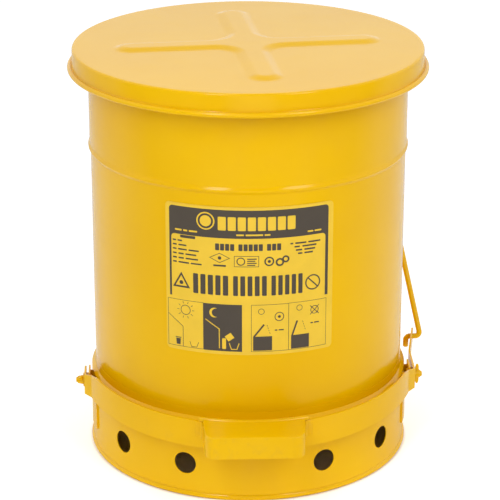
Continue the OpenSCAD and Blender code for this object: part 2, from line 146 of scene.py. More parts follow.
class WastecanDrum(bpy.types.PropertyGroup):
    sheet: length("Sheet", "Thickness of the drum's sheet", 0.8 * MM)
    wall_radius: length("Wall radius", "Outer radius below the step bead", 176 * MM)
    step_height: length("Step height", "Height of the step bead's middle", 358 * MM)
    step_half: length("Step half height", "Half the height of the step bead", 5 * MM)
    step_out: length("Step out", "How much wider the wall is above the bead", 1 * MM)
    step_bead: length("Bead", "How far the bead stands proud", 1.6 * MM)
    rim_curl: length("Rim curl", "Outer radius of the curled rim", 3.4 * MM)
    seam_width: length("Seam width", "Width of the lap at the welded seam", 13 * MM)
    seam_turn: angle("Seam turn", "Where the seam runs, from the back", 24)
    spot_pitch: length("Spot pitch", "Distance between spot welds", 32 * MM)
    segments: IntProperty(name="Segments", description="Facets round the drum", default=288, min=32)


class WastecanLid(bpy.types.PropertyGroup):
    top_radius: length("Top radius", "Radius at the lid's top edge", 194 * MM)
    corner: length("Corner", "Radius of the top edge", 2.4 * MM)
    bead_tube: length("Bead tube", "Radius of the rolled bead", 2.9 * MM)
    rib_height: length("Rib height", "Height of the pressed cross", 3.0 * MM)
    rib_length: length("Rib length", "Length of each arm from the centre", 149 * MM)
    rib_width: length("Rib width", "Width of each arm at its foot", 41 * MM)
    rib_shoulder: length("Rib shoulder", "Width of the slope beside each arm", 13 * MM)
    rib_fillet: length("Rib fillet", "Rounding where the arms meet", 22 * MM)
    rib_turn: angle("Rib turn", "Turn of the cross", 5.5)
    ring_step: length("Ring step", "Distance between the pressing's rings", 2.0 * MM)
    segments: IntProperty(name="Segments", description="Facets round the lid", default=432, min=32)


class WastecanLever(bpy.types.PropertyGroup):
    tilt: angle("Tilt", "Tilt of the lever with the lid closed", 3.5)
    thickness: length("Thickness", "Thickness of the strap", 2 * MM)
    arc_radius: length("Arc radius", "Inner radius round the front", 188.5 * MM)
    arc_ahead: length("Arc ahead", "How far the arc's centre is ahead of the can's axis", 5 * MM)
    edge: length("Edge", "Rounding of the strap's edges", 0.7 * MM)


class WastecanPedal(bpy.types.PropertyGroup):
    back_width: length("Back width", "Width where the pedal meets the strap", 111 * MM)
    front_width: length("Front width", "Width at the front edge", 107 * MM)
    reach: length("Reach", "Distance of the front edge ahead of the pivots", 195 * MM)
    turn: angle("Turn", "Turn of the pedal round the strap's arc", -0.55)
    skirt: length("Skirt", "Height of the skirt", 25 * MM)
    corner: length("Corner", "Radius of the front corners", 12 * MM)
    fold: length("Fold", "Radius of the fold between tread and skirt", 1.9 * MM)
    sheet: length("Sheet", "Thickness of the pressing", 2 * MM)
    lip: length("Lip", "Radius of the lip over the strap's top edge", 2.6 * MM)
    level: length("Level", "Rise of the tread's front edge, which levels it", 1.2 * MM)
    flange: length("Flange", "Width of the welded flanges", 4 * MM)


class WastecanHardware(bpy.types.PropertyGroup):
    rod_radius: length("Rod radius", "Radius of the lift rod", 3.175 * MM)
    hook_bend: length("Hook bend", "Centreline radius of the hook's bends", 4.8 * MM)
    top_bend: length("Top bend", "Centreline radius of the upper bend", 12 * MM)
    bolt_radius: length("Bolt radius", "Radius of the pivot bolts", 3.175 * MM)
    thread_pitch: length("Thread pitch", "Distance between the bolts' threads", 1.27 * MM)
    edge: length("Edge", "Rounding of cut edges", 0.35 * MM)


class WastecanLabel(bpy.types.PropertyGroup):
    width: length("Width", "Width round the drum", 186 * MM)
    turn: angle("Turn", "Turn of the label from the front", -2)
    corner: length("Corner", "Radius of the label's corners", 5 * MM)
    ink_height: length("Ink height", "How far the printing stands off the face", 0.05 * MM)
    facet: length("Facet", "Width of the strips that follow the drum", 3 * MM)


class WastecanStage(bpy.types.PropertyGroup):
    target: length("Target", "Height that the camera looks at", 232 * MM)
    distance: length("Distance", "Distance of the camera", 2.431)
    elevation: angle("Elevation", "Height of the camera above the horizon", 20.63)
    azimuth: angle("Azimuth", "Turn of the camera round the can", -2.5)
    lens: FloatProperty(name="Lens", description="Focal length on a 36 mm sensor", default=153.5, min=10)
    shift_x: FloatProperty(name="Shift X", description="Sideways shift of the lens", default=0.0038, precision=4)
    shift_y: FloatProperty(name="Shift Y", description="Upward shift of the lens", default=-0.0102, precision=4)
    floor_size: length("Floor size", "Width of the floor", 14.0)
    floor_colour: colour("Floor colour", "Pale studio floor", (0.93, 0.93, 0.93))
    # Painted reflection: a dark floor colour that only the can's reflections see ahead of it; the camera and
    # diffuse light see the floor evenly pale.
    floor_ahead_reflection_shade: colour("Floor ahead", "What the floor ahead of the can throws back on it", (0.15, 0.15, 0.15))
    floor_glow: FloatProperty(name="Floor glow", description="Light from under the floor", default=0.35)
    bounce: FloatProperty(name="Bounce", description="How much of the glow the floor throws on the can",
                          default=1.6)
    bounce_reach: length("Bounce reach", "How far from the can the floor throws light on it", 0.3)
    foot_radius: length("Foot radius", "Radius inside which the floor is unlit", 182 * MM)
    overhead: FloatProperty(name="Overhead", description="Share of the studio's brightness overhead", default=0.82)
    surround: FloatProperty(name="Surround", description="Brightness of the studio round the can", default=1.12)
    surround_front: FloatProperty(name="Front surround", description="Brightness behind the camera", default=0.06)


# ---- meshes ----


def piece(name, verts, faces, material, body, slot, smooth_deg=38):
    """A new object from points and faces that rides on a body of the frame."""
    mesh = bpy.data.meshes.new(name)
    mesh.from_pydata([tuple(v) for v in verts], [], faces)
    return finished(name, mesh, material, body, slot, smooth_deg)


def finished(name, mesh, material, body, slot, smooth_deg=38):
    """Shades a mesh, gives it its material and places it on a body of the frame."""
    mesh.validate()
    mesh.shade_smooth()
    mesh.set_sharp_from_angle(angle=math.radians(smooth_deg))
    obj = bpy.data.objects.new(name, mesh)
    bpy.context.scene.collection.objects.link(obj)
    mesh.materials.append(material)
    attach(obj, body)
    return obj


def round_edges(obj, width, segments=3):
    """Rounds the sharp edges of a piece and evens out the shading of its flats."""
    bevel = obj.modifiers.new("rounded edges", "BEVEL")
    bevel.width = width
    bevel.segments = segments
    bevel.limit_method = "ANGLE"
    bevel.angle_limit = math.radians(40)
    shading = obj.modifiers.new("even shading", "WEIGHTED_NORMAL")
    shading.keep_sharp = True
    return obj


def dress(node, material):
    """Gives a frame node its finish."""
    obj = frame["nodes"][node]
    obj.data.materials.clear()
    obj.data.materials.append(material)
    obj.data.shade_smooth()
    obj.data.set_sharp_from_angle(angle=math.radians(30))
    return obj


def arc(centre, radius, start_deg, end_deg, steps):
    """Points along an arc in a plane."""
    points = []
    for i in range(steps + 1):
        a = math.radians(start_deg + (end_deg - start_deg) * i / steps)
        points.append((centre[0] + radius * math.cos(a), centre[1] + radius * math.sin(a)))
    return points


def lathe(section, segments, closed=True, start=0.0, sweep=2 * math.pi):
    """Turns a section of (radius, height) points about the can's axis. A full turn joins up, a part turn is capped.
    Angles run from the front, positive towards +X."""
    full = abs(sweep - 2 * math.pi) < 1e-9
    columns = segments if full else segments + 1
    verts, index = [], []
    for c in range(columns):
        a = start + sweep * c / segments
        column = []
        for i, (r, z) in enumerate(section):
            if r < 1e-9 and c > 0:
                column.append(index[0][i])
                continue
            column.append(len(verts))
            verts.append((r * math.sin(a), -r * math.cos(a), z))
        index.append(column)
    faces = []
    count = len(section)
    for c in range(segments):
        here, there = index[c], index[(c + 1) % columns]
        for i in range(count if closed else count - 1):
            j = (i + 1) % count
            corners = []
            for v in (here[i], there[i], there[j], here[j]):
                if v not in corners:
                    corners.append(v)
            if len(corners) > 2:
                faces.append(corners)
    if not full:
        faces.append(list(reversed(index[0])))
        faces.append(list(index[-1]))
    return verts, faces


def tube(points, radius, sides=20, cap_round=0.0):
    """A round bar along a smooth route of points, with ends that may be slightly rounded."""
    points = [Vector(p) for p in points]
    rings, way_before, up = [], None, None
    for i, p in enumerate(points):
        way = (points[min(i + 1, len(points) - 1)] - points[max(i - 1, 0)]).normalized()
        if up is None:
            up = way.orthogonal().normalized()
        else:
            up = (way_before.rotation_difference(way) @ up).normalized()
        way_before = way
        rings.append((p, way, up, radius))
    if cap_round:
        p, way, up, r = rings[0]
        rings[0] = (p + way * cap_round, way, up, r)
        rings.insert(0, (p, way, up, r - cap_round))
        p, way, up, r = rings[-1]
        rings[-1] = (p - way * cap_round, way, up, r)
        rings.append((p, way, up, r - cap_round))
    verts = []
    for p, way, up, r in rings:
        side = way.cross(up)
        for s in range(sides):
            a = 2 * math.pi * s / sides
            verts.append(p + (up * math.cos(a) + side * math.sin(a)) * r)
    faces = []
    for i in range(len(rings) - 1):
        for s in range(sides):
            t = (s + 1) % sides
            faces.append((i * sides + s, i * sides + t, (i + 1) * sides + t, (i + 1) * sides + s))
    faces.append(tuple(reversed(range(sides))))
    faces.append(tuple(range(len(verts) - sides, len(verts))))
    return verts, faces


def slab(outline, thickness, place):
    """A flat plate from its outline. place turns (a, b, height) into a point."""
    count = len(outline)
    verts = [place(a, b, 0) for a, b in outline] + [place(a, b, thickness) for a, b in outline]
    faces = [tuple(reversed(range(count))), tuple(range(count, 2 * count))]
    faces += [(i, (i + 1) % count, count + (i + 1) % count, count + i) for i in range(count)]
    return verts, faces


def joined(*parts):
    """Several point and face lists as one."""
    verts, faces = [], []
    for part_verts, part_faces in parts:
        base = len(verts)
        verts += part_verts
        faces += [tuple(v + base for v in face) for face in part_faces]
    return verts, faces


def turned_along_x(section, at, facing, sides=40):
    """Turns a closed section of (distance along X, radius) points about a line along X."""
    verts = []
    for s in range(sides):
        a = 2 * math.pi * s / sides
        for along, r in section:
            verts.append(Vector((at.x + facing * along, at.y + r * math.cos(a), at.z + r * math.sin(a))))
    count = len(section)
    faces = []
    for s in range(sides):
        here, there = s * count, ((s + 1) % sides) * count
        for i in range(count):
            j = (i + 1) % count
            faces.append((here + i, here + j, there + j, there + i))
    return verts, faces


def recalculated(obj):
    """Points every face of a closed piece outwards."""
    work = bmesh.new()
    work.from_mesh(obj.data)
    bmesh.ops.recalc_face_normals(work, faces=work.faces)
    work.to_mesh(obj.data)
    work.free()
    return obj


# ---- materials ----


def new_material(name):
    """A material with an empty node tree, its shader and its object coordinates."""
    material = bpy.data.materials.new(name)
    material.use_nodes = True
    nodes = material.node_tree.nodes
    shader = nodes["Principled BSDF"]
    place = nodes.new("ShaderNodeTexCoord")
    return material, nodes, material.node_tree.links, shader, place.outputs["Object"]


def noise(nodes, links, place, scale, detail=2.0, roughness=0.5, stretch=None):
    """A noise texture on object coordinates, drawn out along an axis where stretch says so."""
    texture = nodes.new("ShaderNodeTexNoise")
    texture.inputs["Scale"].default_value = scale
    texture.inputs["Detail"].default_value = detail
    texture.inputs["Roughness"].default_value = roughness
    if stretch:
        mapping = nodes.new("ShaderNodeMapping")
        mapping.inputs["Scale"].default_value = stretch
        links.new(place, mapping.inputs["Vector"])
        place = mapping.outputs["Vector"]
    links.new(place, texture.inputs["Vector"])
    return texture.outputs["Fac"]


def spread(nodes, links, value, from_low, from_high, to_low, to_high):
    """Maps a value's range to another range, clamped."""
    node = nodes.new("ShaderNodeMapRange")
    limits = {"From Min": from_low, "From Max": from_high, "To Min": to_low, "To Max": to_high}
    for socket, number in limits.items():
        node.inputs[socket].default_value = number
    links.new(value, node.inputs["Value"])
    return node.outputs["Result"]


def blend_colours(nodes, links, factor, first, second):
    """Mixes two colours, or a colour and a colour output, by a factor."""
    mix = nodes.new("ShaderNodeMix")
    mix.data_type = "RGBA"
    links.new(factor, mix.inputs["Factor"])
    for socket, value in ((mix.inputs[6], first), (mix.inputs[7], second)):
        if isinstance(value, bpy.types.NodeSocket):
            links.new(value, socket)
        else:
            socket.default_value = value
    return mix.outputs[2]


def calculated(nodes, links, operation, *values):
    """The result of a maths node on numbers and outputs."""
    node = nodes.new("ShaderNodeMath")
    node.operation = operation
    for socket, value in zip(node.inputs, values):
        if isinstance(value, bpy.types.NodeSocket):
            links.new(value, socket)
        else:
            socket.default_value = value
    return node.outputs["Value"]


def bumped(nodes, links, height, depth):
    """A bump of that depth in metres."""
    bump = nodes.new("ShaderNodeBump")
    bump.inputs["Strength"].default_value = 1.0
    bump.inputs["Distance"].default_value = depth
    links.new(height, bump.inputs["Height"])
    return bump.outputs["Normal"]


def powder_coat(name, finish, wear=0.0, wear_scale=60.0):
    """Glossy safety-yellow powder coat: orange peel, drift in colour and gloss, and scuffs where it is worn."""
    material, nodes, links, shader, place = new_material(name)
    drift = noise(nodes, links, place, 7.0, 3.0)
    tone = blend_colours(nodes, links, spread(nodes, links, drift, 0.35, 0.65, 0.0, 1.0),
                         finish.paint, finish.paint_deep)
    gloss = spread(nodes, links, noise(nodes, links, place, 38.0, 4.0), 0.3, 0.7,
                   finish.roughness - 0.05, finish.roughness + 0.06)
    peel = noise(nodes, links, place, 1.0 / finish.peel_size, 2.0)
    normal = bumped(nodes, links, peel, finish.peel_depth)
    if wear:
        scuffs = noise(nodes, links, place, wear_scale, 6.0, 0.7, stretch=(1.0, 3.5, 1.0))
        worn = spread(nodes, links, scuffs, 0.62 - 0.16 * wear, 0.74, 0.0, 0.85 * wear)
        tone = blend_colours(nodes, links, worn, tone, finish.paint_thin)
        gloss = calculated(nodes, links, "MULTIPLY_ADD", worn, 0.3, gloss)
    links.new(tone, shader.inputs["Base Color"])
    links.new(gloss, shader.inputs["Roughness"])
    links.new(normal, shader.inputs["Normal"])
    shader.inputs["Specular IOR Level"].default_value = 0.28
    return material


def zinc_plate(name, finish):
    """Bright zinc over drawn steel, with fine turning marks and a slightly uneven gloss."""
    material, nodes, links, shader, place = new_material(name)
    marks = noise(nodes, links, place, 900.0, 3.0, 0.6, stretch=(0.15, 1.0, 1.0))
    clouds = noise(nodes, links, place, 130.0, 3.0)
    dull = tuple(0.72 * c for c in finish.zinc[:3]) + (1.0,)
    tone = blend_colours(nodes, links, spread(nodes, links, clouds, 0.35, 0.7, 0.0, 1.0), finish.zinc, dull)
    links.new(tone, shader.inputs["Base Color"])
    links.new(spread(nodes, links, marks, 0.3, 0.7, 0.22, 0.42), shader.inputs["Roughness"])
    links.new(bumped(nodes, links, marks, 0.00003), shader.inputs["Normal"])
    shader.inputs["Metallic"].default_value = 1.0
    return material


def label_face(name, rgba, roughness):
    """Satin printed vinyl with a faint grain and slight unevenness in its colour."""
    material, nodes, links, shader, place = new_material(name)
    patches = noise(nodes, links, place, 45.0, 4.0, 0.6)
    grain = noise(nodes, links, place, 1600.0, 1.0)
    deeper = tuple(0.93 * c for c in rgba[:3]) + (1.0,)
    tone = blend_colours(nodes, links, spread(nodes, links, patches, 0.3, 0.7, 0.0, 1.0), tuple(rgba), deeper)
    links.new(tone, shader.inputs["Base Color"])
    links.new(spread(nodes, links, patches, 0.3, 0.7, roughness - 0.04, roughness + 0.05),
              shader.inputs["Roughness"])
    links.new(bumped(nodes, links, grain, 0.000012), shader.inputs["Normal"])
    shader.inputs["Specular IOR Level"].default_value = 0.4
    return material


def material_for(key):
    """The finish of that name, made the first time that it is asked for."""
    made = bpy.data.materials.get(key)
    if made:
        return made
    finish = bpy.context.scene.wastecan_finish
    makers = {
        "drum_paint": lambda: powder_coat(key, finish),
        "lid_paint": lambda: powder_coat(key, finish),
        "lever_paint": lambda: powder_coat(key, finish, wear=0.35),
        "pedal_paint": lambda: powder_coat(key, finish, wear=0.6, wear_scale=90.0),
        "bracket_paint": lambda: powder_coat(key, finish, wear=0.3),
        "zinc": lambda: zinc_plate(key, finish),
        "label_vinyl": lambda: label_face(key, finish.vinyl, 0.33),
        "label_ink": lambda: label_face(key, finish.ink, 0.42),
    }
    return makers[key]()


# ---- drum, base ring and raised bottom ----


class WASTECAN_OT_drum(bpy.types.Operator):
    """Build the drum with its step bead, curled rim and welded seam"""

    bl_idname = "wastecan.drum"
    bl_label = "Drum"

    def execute(self, context):
        size = context.scene.wastecan_drum
        paint = material_for("drum_paint")
        foot, rim = low("body_shell").z, high("body_shell").z - size.rim_curl
        bead_points = []
        for i in range(33):
            u = i / 32
            proud = size.step_out * u + (size.step_bead + (1 - u) * MM) * math.sin(math.pi * u) ** 2
            bead_points.append((size.wall_radius + proud, size.step_height + (2 * u - 1) * size.step_half))
        upper = size.wall_radius + size.step_out
        curl_centre = (upper - size.sheet + size.rim_curl, rim)
        section = [(size.wall_radius, foot)] + bead_points + [(upper, rim - 2 * MM)]
        section += arc(curl_centre, size.rim_curl - size.sheet, 180, -90, 22)
        section += arc(curl_centre, size.rim_curl, -90, 180, 26)
        section += [(upper - size.sheet, rim - 2 * MM)]
        section += [(r - size.sheet, z) for r, z in reversed(bead_points)]
        section += [(size.wall_radius - size.sheet, foot)]
        drum = piece("drum", *lathe(section, size.segments), paint, "can", PAINT_SLOT)
        recalculated(drum)
        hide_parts("body_shell")

        # The lap at the seam, and the rows of spot welds that hold it.
        half = size.seam_width / size.wall_radius / 2
        middle = math.pi - size.seam_turn
        lap = []
        stretches = ((high("base_ring").z + 2 * MM, size.step_height - size.step_half, size.wall_radius),
                     (size.step_height + size.step_half, low("lid_cover").z - 4 * MM, upper))
        for bottom, top, r in stretches:
            inner, outer = r - SEAM_SINK, r + SEAM_RISE
            section = [(inner, bottom), (outer, bottom), (outer, top), (inner, top)]
            lap.append(lathe(section, 6, start=middle - half, sweep=2 * half))
        seam = piece("drum_seam", *joined(*lap), paint, "can", PAINT_SLOT)
        recalculated(seam)
        round_edges(seam, 0.25 * MM, 2)

        welds = []
        for bottom, top, r in stretches:
            count = int((top - bottom) / size.spot_pitch)
            for i in range(count):
                z = bottom + (i + 0.5) * (top - bottom) / count
                welds.append(spot_weld(r + SEAM_RISE, middle, z))
        spots = piece("drum_spot_welds", *joined(*welds), paint, "can", PAINT_SLOT, 60)
        recalculated(spots)
        return {"FINISHED"}


def spot_weld(r, a, z, radius=2.3 * MM, height=0.3 * MM, sides=18):
    """A shallow round button on the outside of the drum: a ring sunk in the wall, a dimpled crown."""
    rings = [(radius * 1.05, -0.25 * MM), (radius, 0.02 * MM), (radius * 0.8, height),
             (radius * 0.45, height * 0.75)]
    verts, faces = [], []
    out = Vector((math.sin(a), -math.cos(a), 0))
    along = Vector((math.cos(a), math.sin(a), 0))
    centre = out * r + Vector((0, 0, z))
    for ring_r, proud in rings:
        for s in range(sides):
            t = 2 * math.pi * s / sides
            verts.append(centre + out * proud + along * (ring_r * math.cos(t))
                         + Vector((0, 0, ring_r * math.sin(t))))
    for k in range(len(rings) - 1):
        for s in range(sides):
            t = (s + 1) % sides
            faces.append((k * sides + s, k * sides + t, (k + 1) * sides + t, (k + 1) * sides + s))
    faces.append(tuple(reversed(range(sides))))
    faces.append(tuple(range((len(rings) - 1) * sides, len(rings) * sides)))
    return verts, faces


class WASTECAN_OT_base(bpy.types.Operator):
    """Finish the vented base ring and the raised bottom"""

    bl_idname = "wastecan.base"
    bl_label = "Base Ring and Raised Bottom"

    def execute(self, context):
        for node in ("base_ring", "raised_bottom"):
            dress(node, material_for("drum_paint"))
        return {"FINISHED"}


# ---- lid ----


def cross_height(x, y, size):
    """Height of the pressed cross over the lid at (x, y): arms with round ends and filleted corners."""
    turn = size.rib_turn
    u = x * math.cos(turn) + y * math.sin(turn)
    v = -x * math.sin(turn) + y * math.cos(turn)
    half = size.rib_width / 2
    reach = size.rib_length - half

    def arm(along, across):
        return math.hypot(max(abs(along) - reach, 0), across) - half

    first, second, r = arm(u, v), arm(v, u), size.rib_fillet
    outside = max(r, min(first, second)) - math.hypot(max(r - first, 0), max(r - second, 0))
    t = min(max(-outside / size.rib_shoulder, 0), 1)
    return size.rib_height * t * t * (3 - 2 * t)


class WASTECAN_OT_lid(bpy.types.Operator):
    """Build the lid with its pressed cross, rounded edge and rolled bead"""

    bl_idname = "wastecan.lid"
    bl_label = "Lid"

    def execute(self, context):
        size = context.scene.wastecan_lid
        sheet = context.scene.wastecan_drum.sheet
        bead_r = high("lid_cover").x - size.bead_tube
        bead_z = low("lid_cover").z + size.bead_tube
        top = high("lid_cover").z - size.rib_height
        skirt = bead_r - 2.1 * MM
        edge_start = size.top_radius - size.corner
        rings = [(i * size.ring_step, top) for i in range(1, int(edge_start / size.ring_step))]
        rings = [(0.0, top), (0.7 * MM, top)] + rings
        outside = list(rings) + arc((edge_start, top - size.corner), size.corner, 90, 4, 10)
        lean = arc((bead_r, bead_z), size.bead_tube, 128, -205, 34)
        outside += [(skirt - 0.25 * MM, bead_z + 6 * MM), (skirt, bead_z + 2.9 * MM)] + lean
        inside = [(skirt - sheet, bead_z + 1.2 * MM), (skirt - sheet - 0.25 * MM, bead_z + 6 * MM)]
        inside += arc((edge_start, top - size.corner), size.corner - sheet, 4, 90, 8)
        inside += [(r, z - sheet) for r, z in reversed(rings)]
        verts, faces = lathe(outside + inside, size.segments)
        verts = [Vector(v) for v in verts]
        for v in verts:
            if v.z > top - sheet - 0.01 * MM and math.hypot(v.x, v.y) < edge_start:
                v.z += cross_height(v.x, v.y, size)
        lid = piece("lid", verts, faces, material_for("lid_paint"), "lid", PAINT_SLOT)
        recalculated(lid)
        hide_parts("lid_cover")
        return {"FINISHED"}


# ---- hinge, brackets and bolts ----


class WASTECAN_OT_hinge(bpy.types.Operator):
    """Finish the hinge leaves, their rivets, the pin and its caps"""

    bl_idname = "wastecan.hinge"
    bl_label = "Lid Hinge"

    def execute(self, context):
        edge = context.scene.wastecan_hardware.edge
        for node in ("body_hinge_bracket", "lid_hinge_bracket", "body_hinge_rivets", "lid_hinge_rivets"):
            round_edges(dress(node, material_for("bracket_paint")), edge, 2)
        for node in ("hinge_pin", "hinge_pin_caps"):
            round_edges(dress(node, material_for("zinc")), edge, 2)
        return {"FINISHED"}


class WASTECAN_OT_pivots(bpy.types.Operator):
    """Finish the pivot brackets, bushings, spacers and washers, and build the bolts and wing nuts"""

    bl_idname = "wastecan.pivots"
    bl_label = "Pivots and Wing Nuts"

    def execute(self, context):
        size = context.scene.wastecan_hardware
        for node in ("left_pivot_bracket", "right_pivot_bracket"):
            round_edges(dress(node, material_for("bracket_paint")), size.edge, 2)

        tip = high("pivot_bolts").x
        bolts = [turned_along_x(bolt_section(size, tip), Vector((0, LEVER_PIVOT.y, LEVER_PIVOT.z)), side)
                 for side in (-1, 1)]
        made = recalculated(piece("pivot_bolt_pair", *joined(*bolts), material_for("bracket_paint"), "can",
                                  PAINT_SLOT, 50))
        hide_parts("pivot_bolts")

        for node, slot, material in (("pivot_bushings", PLATING_SLOT, "zinc"),
                                     ("pivot_spacers", PAINT_SLOT, "bracket_paint"),
                                     ("pivot_washers", PAINT_SLOT, "bracket_paint")):
            round_edges(dress(node, material_for(material)), size.edge, 2)

        for node, side, turn in (("left_wing_nut", -1, math.radians(52)), ("right_wing_nut", 1, 0.0)):
            build_wing_nut(node, side, turn, size)
        return {"FINISHED"}


def bolt_section(size, tip):
    """Half section of a pivot bolt with a domed head, bare shank and threaded end. X is from the can's axis."""
    under = BRACKET_INNER_X
    section = [(BOLT_HEAD_X, ON_AXIS)]
    section += [(under - BOLT_HEAD_RISE * math.cos(math.radians(a)), BOLT_HEAD_RADIUS * math.sin(math.radians(a)))
                for a in range(8, 91, 8)]
    section += [(under, BOLT_HEAD_RADIUS), (under, size.bolt_radius)]
    crest, root = size.bolt_radius, size.bolt_radius - THREAD_DEPTH
    x = THREAD_START_X
    section.append((x, crest))
    while x + size.thread_pitch < tip - 0.6 * MM:
        section += [(x + 0.5 * size.thread_pitch, root), (x + size.thread_pitch, crest)]
        x += size.thread_pitch
    section += [(tip - 0.5 * MM, root + 0.2 * MM), (tip, root - 0.3 * MM), (tip, ON_AXIS)]
    return section


def build_wing_nut(node, side, turn, size):
    """A forged wing nut: a waisted hub with two leaf-shaped wings whose edges are rounded."""
    along = high("right_wing_nut").x - WING_NUT_X
    wing = [(0.6, 3.4), (0.4, 5.4), (0.6, 8.6), (1.2, 11.3), (2.3, 12.45), (3.4, 12.2), (4.2, 10.6),
            (4.6, 8.2), (4.7, 5.6), (4.8, 3.4)]
    fit = along / WING_NUT_LENGTH
    at = Vector((side * WING_NUT_X, LEVER_PIVOT.y, LEVER_PIVOT.z))
    parts = []
    hub = [(0.0, 2.9), (0.0, 5.1), (0.5, 5.3), (1.6, 5.15), (3.6, 4.6), (5.6, 4.35), (6.2, 4.1),
           (6.5, 3.7), (6.5, 2.9)]
    parts.append(turned_along_x([(x * MM, r * MM) for x, r in hub], at, side))
    for wing_side in (1, -1):
        def place(x, out, h, wing_side=wing_side):
            flat = h - WING_THICKNESS / 2
            taper = 1.0 - 0.35 * (out - 3.4 * MM) / (9 * MM)
            return Vector((at.x + side * x * fit,
                           at.y + wing_side * (-out * math.sin(turn) + flat * taper * math.cos(turn)),
                           at.z + wing_side * (out * math.cos(turn) + flat * taper * math.sin(turn))))
        parts.append(slab([(x * MM, r * MM) for x, r in wing], WING_THICKNESS, place))
    nut = piece(node + "_cast", *joined(*parts), material_for("bracket_paint"), "can", PAINT_SLOT, 50)
    recalculated(nut)
    round_edges(nut, 0.55 * MM, 3)
    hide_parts(node)


# ---- foot lever ----


def lever_point(x, y, z):
    """A point of the lever's own frame at rest, which is level and starts at the pivots."""
    tilt = bpy.context.scene.wastecan_lever.tilt
    return Vector((x, LEVER_PIVOT.y + y * math.cos(tilt) - z * math.sin(tilt),
                   LEVER_PIVOT.z + y * math.sin(tilt) + z * math.cos(tilt)))


class WASTECAN_OT_strap(bpy.types.Operator):
    """Finish the foot strap"""

    bl_idname = "wastecan.strap"
    bl_label = "Foot Strap"

    def execute(self, context):
        size = context.scene.wastecan_lever
        round_edges(dress("foot_strap", material_for("lever_paint")), size.edge, 3)
        return {"FINISHED"}


class WASTECAN_OT_pedal(bpy.types.Operator):
    """Build the pressed pedal: rounded tread and skirt, flanges on the strap and a lip over its top edge"""

    bl_idname = "wastecan.pedal"
    bl_label = "Pedal"

    def execute(self, context):
        lever, size = context.scene.wastecan_lever, context.scene.wastecan_pedal
        paint = material_for("pedal_paint")
        outer = lever.arc_radius + lever.thickness
        centre = -LEVER_PIVOT.y - lever.arc_ahead
        tread = TREAD_HEIGHT
        bottom = tread - size.skirt

        def back_at(x):
            return centre - math.sqrt(outer ** 2 - x ** 2)

        def turned(x, y, z):
            spun = Matrix.Rotation(size.turn, 2) @ Vector((x, y - centre))
            return lever_point(spun.x, spun.y + centre, z)

        # The skirt's path from the back right round the front to the back left.
        half_back, half_front, r = size.back_width / 2, size.front_width / 2, size.corner
        back_y = back_at(half_back - 1 * MM)
        front_y = -size.reach
        right = [(half_back, back_y)] + arc((half_front - r, front_y + r), r, 0, -90, 12)
        left = [(-x, y) for x, y in reversed(right)]
        outline = right + left
        count = len(outline)

        def inset(amount):
            ring = []
            for i, (x, y) in enumerate(outline):
                before = Vector(outline[max(i - 1, 0)])
                after = Vector(outline[min(i + 1, count - 1)])
                way = (after - before).normalized()
                ring.append(Vector((x, y)) + Vector((way.y, -way.x)) * amount)
            return ring

        levels = [(0.0, bottom), (0.0, (bottom + tread) / 2)]
        levels += [(size.fold - size.fold * math.cos(math.radians(a)),
                    tread - size.fold + size.fold * math.sin(math.radians(a))) for a in range(0, 91, 15)]
        verts, faces = [], []
        depth = size.reach + back_at(0)

        def rise(y):
            return size.level * min(max((back_at(0) - y) / depth, 0), 1)

        for k, (amount, z) in enumerate(levels):
            for p in inset(amount):
                verts.append(turned(p.x, p.y, z + (rise(p.y) if k else 0)))
        for k in range(len(levels) - 1):
            for i in range(count - 1):
                faces.append((k * count + i, k * count + i + 1, (k + 1) * count + i + 1, (k + 1) * count + i))
        # The tread fills the space from the fold to the strap.
        ring, back = (len(levels) - 1) * count, len(verts)
        reach = half_back - size.fold
        for i in range(count):
            x = reach * (1 - 2 * i / (count - 1))
            verts.append(turned(x, back_at(x) + 0.6 * MM, tread))
        faces += [(ring + i, ring + i + 1, back + i + 1, back + i) for i in range(count - 1)]
        pedal = piece("pedal", verts, faces, paint, "foot_lever", PAINT_SLOT, 32)
        plate = pedal.modifiers.new("sheet", "SOLIDIFY")
        plate.thickness = size.sheet
        plate.offset = -1
        plate.use_even_offset = True
        recalculate_open(pedal)
        round_edges(pedal, 0.4 * MM, 2)
        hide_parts("foot_pedal")

        # Flanges that turn outwards on to the strap, one at each side.
        flanges = []
        for side in (-1, 1):
            section = []
            bend = FLANGE_BEND
            for i in range(9):
                a = math.radians(90 * i / 8)
                x = half_back + bend - bend * math.cos(a)
                section.append((x, back_at(half_back + bend) - bend + bend * math.sin(a)))
            section += [(half_back + bend + size.flange * i / 3, 0) for i in range(1, 4)]
            section = [(x, y if y else back_at(x)) for x, y in section]
            section = [(half_back - 0.2 * MM, section[0][1] - 7 * MM)] + section
            low_z, high_z = bottom + 1.5 * MM, tread - 4.0 * MM
            columns = []
            for x, y in section:
                columns.append([turned(side * x, y, low_z), turned(side * x, y, high_z)])
            v = [p for column in columns for p in column]
            f = [(2 * i, 2 * i + 2, 2 * i + 3, 2 * i + 1) for i in range(len(columns) - 1)]
            flanges.append((v, f if side > 0 else [tuple(reversed(q)) for q in f]))
        wings = piece("pedal_flanges", *joined(*flanges), paint, "foot_lever", PAINT_SLOT, 60)
        sheet = wings.modifiers.new("sheet", "SOLIDIFY")
        sheet.thickness = 1.6 * MM
        sheet.offset = 0
        round_edges(wings, 0.5 * MM, 2)

        # The lip rolled over the strap's top edge.
        route = []
        span = math.asin((half_back + FLANGE_BEND) / outer)
        for i in range(41):
            a = -span + 2 * span * i / 40
            rr = outer - 0.4 * MM
            route.append(turned(rr * math.sin(a), centre - rr * math.cos(a), tread - 1.2 * MM))
        lip = piece("pedal_lip", *tube(route, size.lip, 20, 0.8 * MM), paint, "foot_lever", PAINT_SLOT, 60)
        recalculated(lip)
        return {"FINISHED"}


